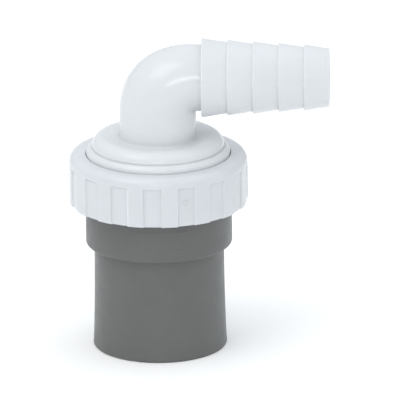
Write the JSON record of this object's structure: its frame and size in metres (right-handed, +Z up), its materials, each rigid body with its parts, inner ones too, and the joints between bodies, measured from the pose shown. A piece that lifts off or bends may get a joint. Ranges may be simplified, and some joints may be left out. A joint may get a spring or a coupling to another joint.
{
  "type": "swivel elbow hose connector",
  "caption": "Plastic swivel elbow with a stepped hose tail, held by a ribbed union nut on a threaded pipe spigot with a sealing washer.",
  "frame": {"origin": "on the pipe axis at the open end of the spigot", "axes": "+Z up the pipe axis towards the elbow, +X along the hose tail towards its open end"},
  "size_m": [0.0778, 0.0532, 0.0947],
  "materials": {
    "grey_pvc": "satin moulded PVC",
    "black_rubber": "matt",
    "white_plastic": "satin moulded polypropylene"
  },
  "bodies": {
    "adaptor": {"pipe_adaptor": "grey_pvc"},
    "seal": {"sealing_washer": "black_rubber"},
    "nut": {"union_nut": "white_plastic"},
    "elbow": {"elbow_hose_tail": "white_plastic"}
  },
  "joints": [
    {"name": "lift", "type": "slide", "parent": "adaptor", "child": "seal", "axis": [0, 0, 1], "range_m": [0, 0.009]},
    {"name": "nut_turn", "type": "hinge", "parent": "seal", "child": "nut", "pos_m": [0, 0, 0.052], "axis": [0, 0, 1], "range_deg": [0, 1081]},
    {"name": "elbow_swivel", "type": "hinge", "parent": "seal", "child": "elbow", "pos_m": [0, 0, 0.0555], "axis": [0, 0, 1], "continuous": true}
  ],
  "couplings": [
    {"joint": "nut_turn", "follows": "lift", "rad_per_m": 2094.4}
  ]
}
